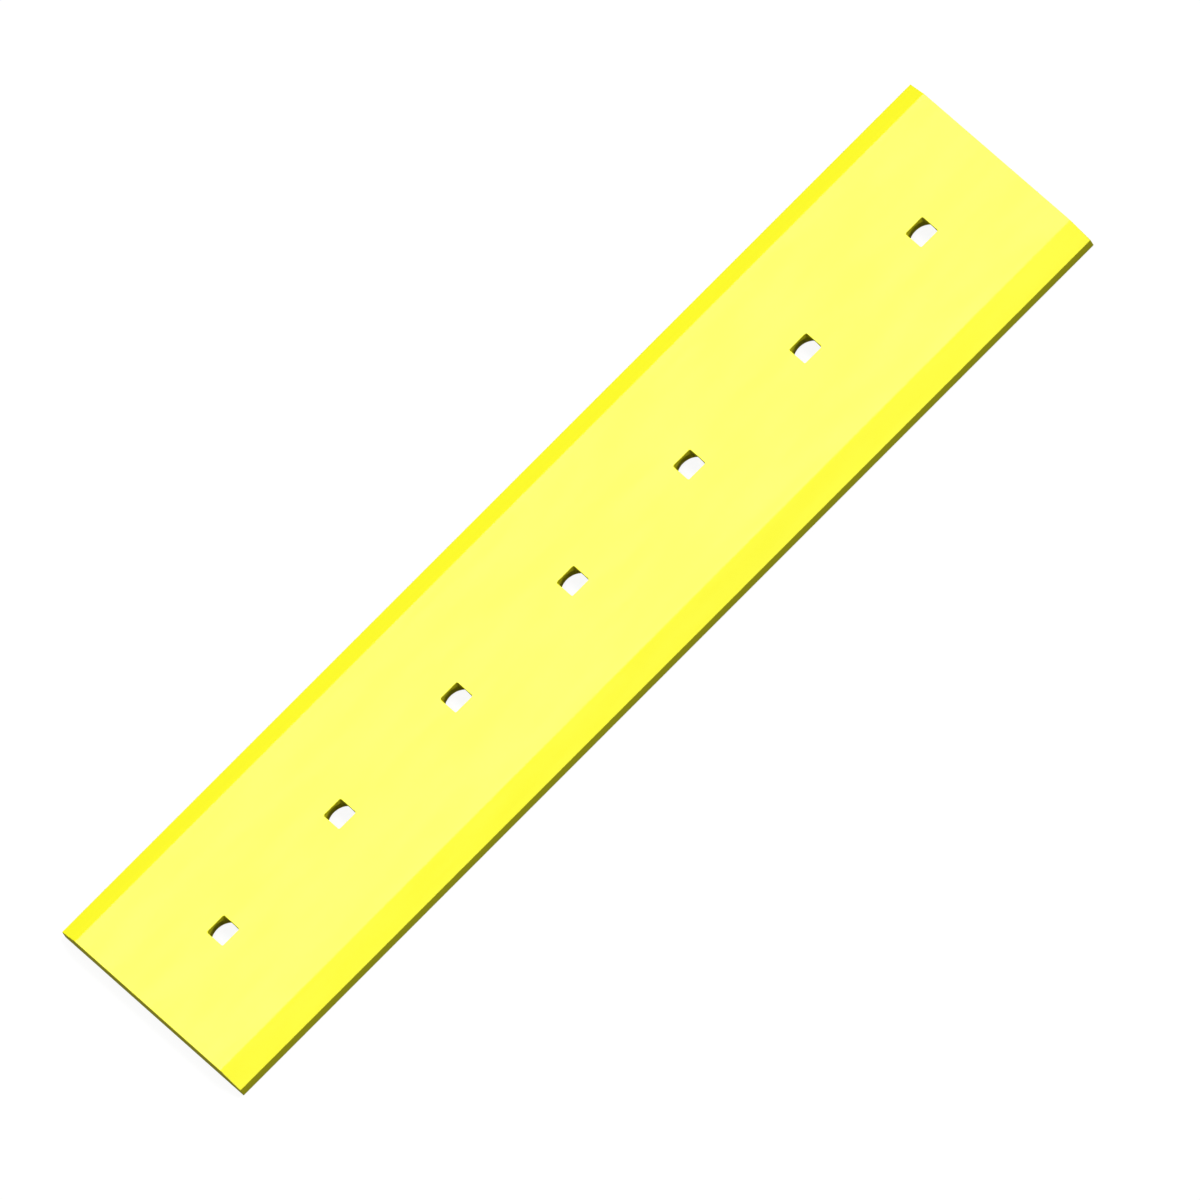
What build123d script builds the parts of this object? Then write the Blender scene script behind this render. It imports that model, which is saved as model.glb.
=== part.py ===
from build123d import *
import math
import os

# Bolt-on cutting edge of an earthmover's blade or bucket: one hot-rolled steel bar with seven
# square bolt holes. It lies on its flat wear face with the bevelled face up. +X runs along the
# bar, +Y across it and +Z through its thickness. The origin is the middle of the wear face.

# Rolled section, the same all along the bar
WIDTH = 254.0
THICKNESS = 22.2
BEVEL_WIDTH = 23.3
NOSE_HEIGHT = 11.1
NOSE_CORNER_RADIUS = 0.5
BEVEL_BLEND_RADIUS = 5.0

# Row of bolt holes along the middle, so that the bar can be turned round when one edge is worn
HOLE_COUNT = 7
HOLE_PITCH = 152.4
END_DISTANCE = 98.8

# Square neck of each hole, which stops the bolt from turning
NECK_SIDE = 22.2
NECK_CORNER_RADIUS = 1.6
MOUTH_RADIUS = 0.5

# Seat of the bolt's round head: a straight recess in the wear face, then a cone
SEAT_DIAMETER = 36.0
SEAT_RECESS_DEPTH = 10.8
SEAT_CONE_ANGLE = 80.0
SEAT_RIM_BREAK = 0.8

# Arris taken off the sawn ends
END_BREAK = 0.4

# How far a cutting form runs past the face that it opens
CUT_OVERRUN = 1.0

length = (HOLE_COUNT - 1) * HOLE_PITCH + 2 * END_DISTANCE
half_width = WIDTH / 2
half_flat = half_width - BEVEL_WIDTH
seat_radius = SEAT_DIAMETER / 2
cone_height = seat_radius / math.tan(math.radians(SEAT_CONE_ANGLE / 2))

os.makedirs("parts", exist_ok=True)

# What one bolt hole takes out of the bar. The square neck runs through the whole thickness, and
# the round seat opens it from below. The cone's tip stays inside the neck and cuts nothing there.
with BuildPart() as bolt_hole:
    with BuildSketch(Plane.XY.offset(-CUT_OVERRUN)):
        RectangleRounded(NECK_SIDE, NECK_SIDE, NECK_CORNER_RADIUS)
    extrude(amount=THICKNESS + 2 * CUT_OVERRUN)
    with BuildSketch(Plane.XZ):
        with BuildLine():
            Polyline(
                (0, -CUT_OVERRUN),
                (seat_radius, -CUT_OVERRUN),
                (seat_radius, SEAT_RECESS_DEPTH),
                (0, SEAT_RECESS_DEPTH + cone_height),
                close=True,
            )
        make_face()
    revolve(axis=Axis.Z)

with BuildPart() as cutting_edge:
    # Both long edges are bevelled alike on the upper face and end in a blunt upright nose
    with BuildSketch(Plane.YZ) as section:
        with BuildLine():
            Polyline(
                (-half_width, 0),
                (half_width, 0),
                (half_width, NOSE_HEIGHT),
                (half_flat, THICKNESS),
                (-half_flat, THICKNESS),
                (-half_width, NOSE_HEIGHT),
                close=True,
            )
        make_face()
        across = vertices().group_by(Axis.X)
        fillet(across[0] + across[-1], NOSE_CORNER_RADIUS)
        fillet(vertices().group_by(Axis.Y)[-1], BEVEL_BLEND_RADIUS)
    extrude(amount=length / 2, both=True)

    # The bar is sawn square to its length, and the saw's burr is taken off all round
    chamfer(faces().filter_by(Axis.X).edges(), END_BREAK)

    # One row of equal holes
    with GridLocations(HOLE_PITCH, 0, HOLE_COUNT, 1):
        add(bolt_hole.part, mode=Mode.SUBTRACT)

    # The square mouths are dressed round, and the rims of the seats are broken
    fillet(faces().sort_by(Axis.Z)[-1].inner_wires().edges(), MOUTH_RADIUS)
    chamfer(faces().sort_by(Axis.Z)[0].inner_wires().edges(), SEAT_RIM_BREAK)

cutting_edge.part.label = "cutting_edge"
export_step(cutting_edge.part, "parts/cutting_edge.step")
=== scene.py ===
import math

import bmesh
import bpy
from mathutils import Matrix, Vector


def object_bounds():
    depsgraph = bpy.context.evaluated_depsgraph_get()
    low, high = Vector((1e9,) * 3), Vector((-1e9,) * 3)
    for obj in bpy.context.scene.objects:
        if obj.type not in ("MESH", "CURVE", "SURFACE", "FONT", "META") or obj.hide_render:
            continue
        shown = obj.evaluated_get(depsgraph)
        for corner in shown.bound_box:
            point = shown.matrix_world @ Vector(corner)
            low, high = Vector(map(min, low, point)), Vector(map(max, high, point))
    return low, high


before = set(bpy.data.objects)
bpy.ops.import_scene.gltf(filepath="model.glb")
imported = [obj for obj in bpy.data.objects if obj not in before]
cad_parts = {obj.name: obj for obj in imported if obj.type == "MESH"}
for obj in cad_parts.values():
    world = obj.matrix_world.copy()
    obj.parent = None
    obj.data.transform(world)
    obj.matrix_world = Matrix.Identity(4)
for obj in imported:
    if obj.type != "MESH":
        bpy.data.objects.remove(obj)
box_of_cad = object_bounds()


# The cutting edge: one bar of hot-rolled steel, sawn to length, with a row of square bolt holes
# punched through it, and dipped in lemon yellow enamel. The coat lies thick and glossy on the
# rolled faces, and thinner, duller and darker over the marks of saw, punch and turning tool; inside
# the holes that darker colour is painted shade.

HOLE_PITCH = 0.1524
SEAT_RADIUS = 0.018
SEAT_RECESS_DEPTH = 0.0108
BAR_HALF_LENGTH = box_of_cad[1].x

LEMON = (0.928, 0.910, 0.007, 1.0)
LEMON_THICK = (0.915, 0.890, 0.005, 1.0)
# The thin coat's darker yellow on the sawn ends, and painted shade on the walls and seats inside the
# holes
LEMON_THIN_AND_HOLE_SHADE = (0.740, 0.690, 0.006, 1.0)

enamel = bpy.data.materials.new("lemon_enamel")
enamel.use_nodes = True
enamel_nodes = enamel.node_tree.nodes
enamel_links = enamel.node_tree.links
enamel_coat = enamel_nodes["Principled BSDF"]
enamel_coat.inputs["Metallic"].default_value = 0.0
enamel_coat.inputs["IOR"].default_value = 1.5


def feed(value, socket):
    """Joins a node's output to a socket, or writes a plain number or colour into it."""
    if isinstance(value, bpy.types.NodeSocket):
        enamel_links.new(value, socket)
    else:
        socket.default_value = value


def reckon(kind, first, second=0.0):
    """One step of arithmetic on the bar's coordinates."""
    step = enamel_nodes.new("ShaderNodeMath")
    step.operation = kind
    feed(first, step.inputs[0])
    feed(second, step.inputs[1])
    return step.outputs[0]


def fade(value, low, high, start=0.0, end=1.0):
    """Turns the stretch from low to high into a smooth one from start to end."""
    step = enamel_nodes.new("ShaderNodeMapRange")
    step.interpolation_type = "SMOOTHSTEP"
    for number, socket in zip((value, low, high, start, end), step.inputs):
        feed(number, socket)
    return step.outputs[0]


def grain(per_metre, detail, roughness):
    """Noise with so many grains a metre along the bar, across it and through it."""
    laid = enamel_nodes.new("ShaderNodeMapping")
    laid.inputs["Scale"].default_value = per_metre
    enamel_links.new(place, laid.inputs["Vector"])
    noise = enamel_nodes.new("ShaderNodeTexNoise")
    noise.inputs["Scale"].default_value = 1.0
    noise.inputs["Detail"].default_value = detail
    noise.inputs["Roughness"].default_value = roughness
    enamel_links.new(laid.outputs[0], noise.inputs["Vector"])
    return noise.outputs["Fac"]


def coats(share, under, over):
    """One coat's colour, with another's laid over a share of it."""
    mix = enamel_nodes.new("ShaderNodeMix")
    mix.data_type = "RGBA"
    feed(share, mix.inputs["Factor"])
    feed(under, mix.inputs["A"])
    feed(over, mix.inputs["B"])
    return mix.outputs["Result"]


bar_place = enamel_nodes.new("ShaderNodeTexCoord")
place = bar_place.outputs["Object"]
place_parts = enamel_nodes.new("ShaderNodeSeparateXYZ")
enamel_links.new(place, place_parts.inputs[0])
along, across, through = place_parts.outputs
facing_parts = enamel_nodes.new("ShaderNodeSeparateXYZ")
enamel_links.new(bar_place.outputs["Normal"], facing_parts.inputs[0])
facing_along, facing_across, facing_up = facing_parts.outputs

# The saw cut the two end walls. Round each hole's middle, the punch cut the upright walls of
# the neck, and a turning tool cut the seat under it: a straight recess and a cone facing down.
at_an_end = fade(reckon("ABSOLUTE", along), BAR_HALF_LENGTH - 0.0007, BAR_HALF_LENGTH - 0.0001)
sawn = reckon("MULTIPLY", at_an_end, fade(reckon("ABSOLUTE", facing_along), 0.5, 0.9))
from_gap = reckon("PINGPONG", reckon("ADD", along, HOLE_PITCH / 2), HOLE_PITCH / 2)
from_hole = reckon("SUBTRACT", HOLE_PITCH / 2, from_gap)
from_axis = reckon(
    "SQRT",
    reckon("ADD", reckon("MULTIPLY", from_hole, from_hole), reckon("MULTIPLY", across, across)),
)
in_hole = fade(from_axis, SEAT_RADIUS + 0.0012, SEAT_RADIUS + 0.0002)
upright = fade(reckon("ABSOLUTE", facing_up), 0.35, 0.15)
in_recess = reckon("MULTIPLY", upright, fade(through, SEAT_RECESS_DEPTH + 0.0002, SEAT_RECESS_DEPTH))
on_cone = reckon("MULTIPLY", fade(facing_up, -0.3, -0.5), fade(facing_up, -0.9, -0.8))
turned = reckon("MULTIPLY", in_hole, reckon("MAXIMUM", in_recess, on_cone))
punched = reckon("MULTIPLY", reckon("MULTIPLY", in_hole, upright), reckon("SUBTRACT", 1.0, in_recess))
cut_steel_and_hole_shade = reckon("MAXIMUM", sawn, reckon("MAXIMUM", punched, turned))

# Tone: clouds in the coat, drawn out along the way the bar was rolled, and a darker thin coat on the
# cut faces, which inside the holes is painted shade
clouds = grain((2.2, 16.0, 16.0), 3.0, 0.55)
tone = coats(fade(clouds, 0.35, 0.70), LEMON, LEMON_THICK)
# A thinner, darker coat in streaks over the sawn ends and the holes; inside the holes this darkening
# is painted shade
streaks = grain((60.0, 900.0, 25.0), 2.0, 0.6)
thin_coat_and_hole_shade = reckon("MULTIPLY", cut_steel_and_hole_shade, fade(streaks, 0.3, 0.7, 0.45, 1.0))
enamel_links.new(coats(thin_coat_and_hole_shade, tone, LEMON_THIN_AND_HOLE_SHADE), enamel_coat.inputs["Base Color"])

# Gloss: nearly even on the rolled faces
gloss = fade(grain((9.0, 40.0, 40.0), 3.0, 0.6), 0.3, 0.7, 0.28, 0.33)
gloss = reckon("ADD", gloss, reckon("MULTIPLY", thin_coat_and_hole_shade, 0.22))
enamel_links.new(gloss, enamel_coat.inputs["Roughness"])


def marks(per_metre, depth, share=1.0):
    """Relief so many metres deep, on a share of the bar."""
    return reckon("MULTIPLY", reckon("MULTIPLY", grain(per_metre, 2.0, 0.55), depth), share)


# Relief: the wet coat's orange peel over the long shallow waves of the rolls, the upright marks
# of saw and punch, and the rings of the turning tool
orange_peel = marks((380.0, 380.0, 380.0), 0.000035)
roll_waves = marks((7.0, 85.0, 85.0), 0.00010)
saw_marks = marks((1.0, 1300.0, 45.0), 0.00016, sawn)
punch_marks = marks((1100.0, 1100.0, 30.0), 0.00020, punched)
tool_rings = marks((25.0, 25.0, 1100.0), 0.00012, turned)
relief = reckon("ADD", orange_peel, roll_waves)
for cut_marks in (saw_marks, punch_marks, tool_rings):
    relief = reckon("ADD", relief, cut_marks)
relief_on_coat = enamel_nodes.new("ShaderNodeBump")
relief_on_coat.inputs["Strength"].default_value = 1.0
relief_on_coat.inputs["Distance"].default_value = 1.0
enamel_links.new(relief, relief_on_coat.inputs["Height"])
enamel_links.new(relief_on_coat.outputs[0], enamel_coat.inputs["Normal"])

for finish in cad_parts["cutting_edge"].material_slots:
    finish.material = enamel


# The floor: a wide white board that the bar lies on. To the eye and through glass it glows a
# little under full white, so that it reads as plain paper, and it still takes a faint shadow.
# In gloss it is far dimmer, so that the enamel over it keeps its depth.

BOARD_HALF_SIDE = 20.0
BOARD_DROP = 0.0002
BOARD_GLOW = 0.93
BOARD_IN_GLOSS = 0.04
BOARD_DULL = (0.08, 0.08, 0.08, 1.0)

board_mesh = bpy.data.meshes.new("white_board")
board_form = bmesh.new()
bmesh.ops.create_grid(board_form, x_segments=1, y_segments=1, size=BOARD_HALF_SIDE)
bmesh.ops.translate(board_form, verts=board_form.verts, vec=(0.0, 0.0, -BOARD_DROP))
board_form.to_mesh(board_mesh)
board_form.free()
board = bpy.data.objects.new("white_board", board_mesh)
bpy.context.scene.collection.objects.link(board)

paper = bpy.data.materials.new("white_paper")
paper.use_nodes = True
paper_nodes = paper.node_tree.nodes
paper_links = paper.node_tree.links
paper_nodes.clear()
paper_rays = paper_nodes.new("ShaderNodeLightPath")
paper_seen = paper_nodes.new("ShaderNodeMath")
paper_seen.operation = "MAXIMUM"
paper_links.new(paper_rays.outputs["Is Camera Ray"], paper_seen.inputs[0])
paper_links.new(paper_rays.outputs["Is Transmission Ray"], paper_seen.inputs[1])
paper_gloss = paper_nodes.new("ShaderNodeMapRange")
paper_gloss.inputs["To Max"].default_value = BOARD_IN_GLOSS
paper_links.new(paper_rays.outputs["Is Glossy Ray"], paper_gloss.inputs["Value"])
paper_level = paper_nodes.new("ShaderNodeMath")
paper_level.operation = "MULTIPLY_ADD"
paper_level.inputs[1].default_value = BOARD_GLOW
paper_links.new(paper_seen.outputs[0], paper_level.inputs[0])
paper_links.new(paper_gloss.outputs[0], paper_level.inputs[2])
paper_glow = paper_nodes.new("ShaderNodeEmission")
paper_links.new(paper_level.outputs[0], paper_glow.inputs["Strength"])
paper_dull = paper_nodes.new("ShaderNodeBsdfDiffuse")
paper_dull.inputs["Color"].default_value = BOARD_DULL
paper_both = paper_nodes.new("ShaderNodeAddShader")
paper_links.new(paper_dull.outputs[0], paper_both.inputs[0])
paper_links.new(paper_glow.outputs[0], paper_both.inputs[1])
paper_face = paper_nodes.new("ShaderNodeOutputMaterial")
paper_links.new(paper_both.outputs[0], paper_face.inputs["Surface"])
board_mesh.materials.append(paper)


# The light: three wide soft boxes, hung so far off that each lights the whole bar evenly. The
# key box stands high on the right. The sheen box stands behind, where the camera sees it mirrored
# in the flat face, and gives that face its paler yellow. The low box on the left is for the end.

KEY_BOX_TOWARD = (0.45, -0.19, 0.873)
KEY_BOX_STRENGTH = 2.60
KEY_BOX_WIDTH = math.radians(17.0)
SHEEN_BOX_TOWARD = (0.11, 0.50, 0.856)
SHEEN_BOX_STRENGTH = 1.32
SHEEN_BOX_WIDTH = math.radians(32.0)
LOW_BOX_TOWARD = (-0.997, 0.0, 0.08)
LOW_BOX_STRENGTH = 0.42
LOW_BOX_WIDTH = math.radians(8.0)


def hang_box(name, toward, strength, width):
    """Hangs a far soft box in the direction given, as wide as the angle that it fills."""
    lamp = bpy.data.lights.new(name, "SUN")
    lamp.energy = strength
    lamp.angle = width
    box = bpy.data.objects.new(name, lamp)
    box.location = Vector(toward).normalized() * 3.0
    box.rotation_mode = "QUATERNION"
    box.rotation_quaternion = Vector(toward).to_track_quat("Z", "Y")
    box.visible_camera = False
    bpy.context.scene.collection.objects.link(box)


hang_box("key_box", KEY_BOX_TOWARD, KEY_BOX_STRENGTH, KEY_BOX_WIDTH)
hang_box("sheen_box", SHEEN_BOX_TOWARD, SHEEN_BOX_STRENGTH, SHEEN_BOX_WIDTH)
hang_box("low_box", LOW_BOX_TOWARD, LOW_BOX_STRENGTH, LOW_BOX_WIDTH)


# The studio round it: white walls to the eye and through glass, seen paler in the gloss of the
# enamel, and so far off that they give the bar only a little light.

WALLS_AS_LIGHT = 0.10
WALLS_IN_GLOSS = 0.38

studio = bpy.data.worlds.new("studio")
studio.use_nodes = True
bpy.context.scene.world = studio
studio_nodes = studio.node_tree.nodes
studio_links = studio.node_tree.links
studio_rays = studio_nodes.new("ShaderNodeLightPath")
studio_seen = studio_nodes.new("ShaderNodeMath")
studio_seen.operation = "MAXIMUM"
studio_links.new(studio_rays.outputs["Is Camera Ray"], studio_seen.inputs[0])
studio_links.new(studio_rays.outputs["Is Transmission Ray"], studio_seen.inputs[1])
studio_gloss = studio_nodes.new("ShaderNodeMapRange")
studio_gloss.inputs["To Min"].default_value = WALLS_AS_LIGHT
studio_gloss.inputs["To Max"].default_value = WALLS_IN_GLOSS
studio_links.new(studio_rays.outputs["Is Glossy Ray"], studio_gloss.inputs["Value"])
studio_level = studio_nodes.new("ShaderNodeMath")
studio_level.operation = "MAXIMUM"
studio_links.new(studio_seen.outputs[0], studio_level.inputs[0])
studio_links.new(studio_gloss.outputs[0], studio_level.inputs[1])
studio_walls = studio_nodes["Background"]
studio_walls.inputs["Color"].default_value = (1.0, 1.0, 1.0, 1.0)
studio_links.new(studio_level.outputs[0], studio_walls.inputs["Strength"])


# The camera: a very long lens far off, high over the front long edge and a little to the left,
# so that parallel edges stay parallel. It is rolled until the bar climbs at 45 degrees.

TOWARD_CAMERA = Vector((-0.1126, -0.5043, 0.8562)).normalized()
FRAME_WIDTH = 1.1037
LENS = 1500.0
SENSOR = 36.0
FLAT_LEFT_OF_MIDDLE = 0.0251
FLAT_ABOVE_MIDDLE = 0.0176

bar_on_film = (Vector((1.0, 0.0, 0.0)) - TOWARD_CAMERA * TOWARD_CAMERA.x).normalized()
front_on_film = bar_on_film.cross(TOWARD_CAMERA)
film_right = (bar_on_film + front_on_film).normalized()
film_up = (bar_on_film - front_on_film).normalized()
middle_of_flat = Vector((0.0, 0.0, box_of_cad[1].z))
middle_of_film = middle_of_flat + film_right * FLAT_LEFT_OF_MIDDLE - film_up * FLAT_ABOVE_MIDDLE

camera_body = bpy.data.cameras.new("camera")
camera_body.sensor_fit = "HORIZONTAL"
camera_body.sensor_width = SENSOR
camera_body.lens = LENS
camera_body.clip_start = 1.0
camera_body.clip_end = 200.0
camera = bpy.data.objects.new("camera", camera_body)
camera.location = middle_of_film + TOWARD_CAMERA * (FRAME_WIDTH * LENS / SENSOR)
camera.rotation_mode = "QUATERNION"
camera.rotation_quaternion = Matrix((film_right, film_up, TOWARD_CAMERA)).transposed().to_quaternion()
bpy.context.scene.collection.objects.link(camera)
bpy.context.scene.camera = camera
bpy.context.scene.view_settings.view_transform = "Standard"
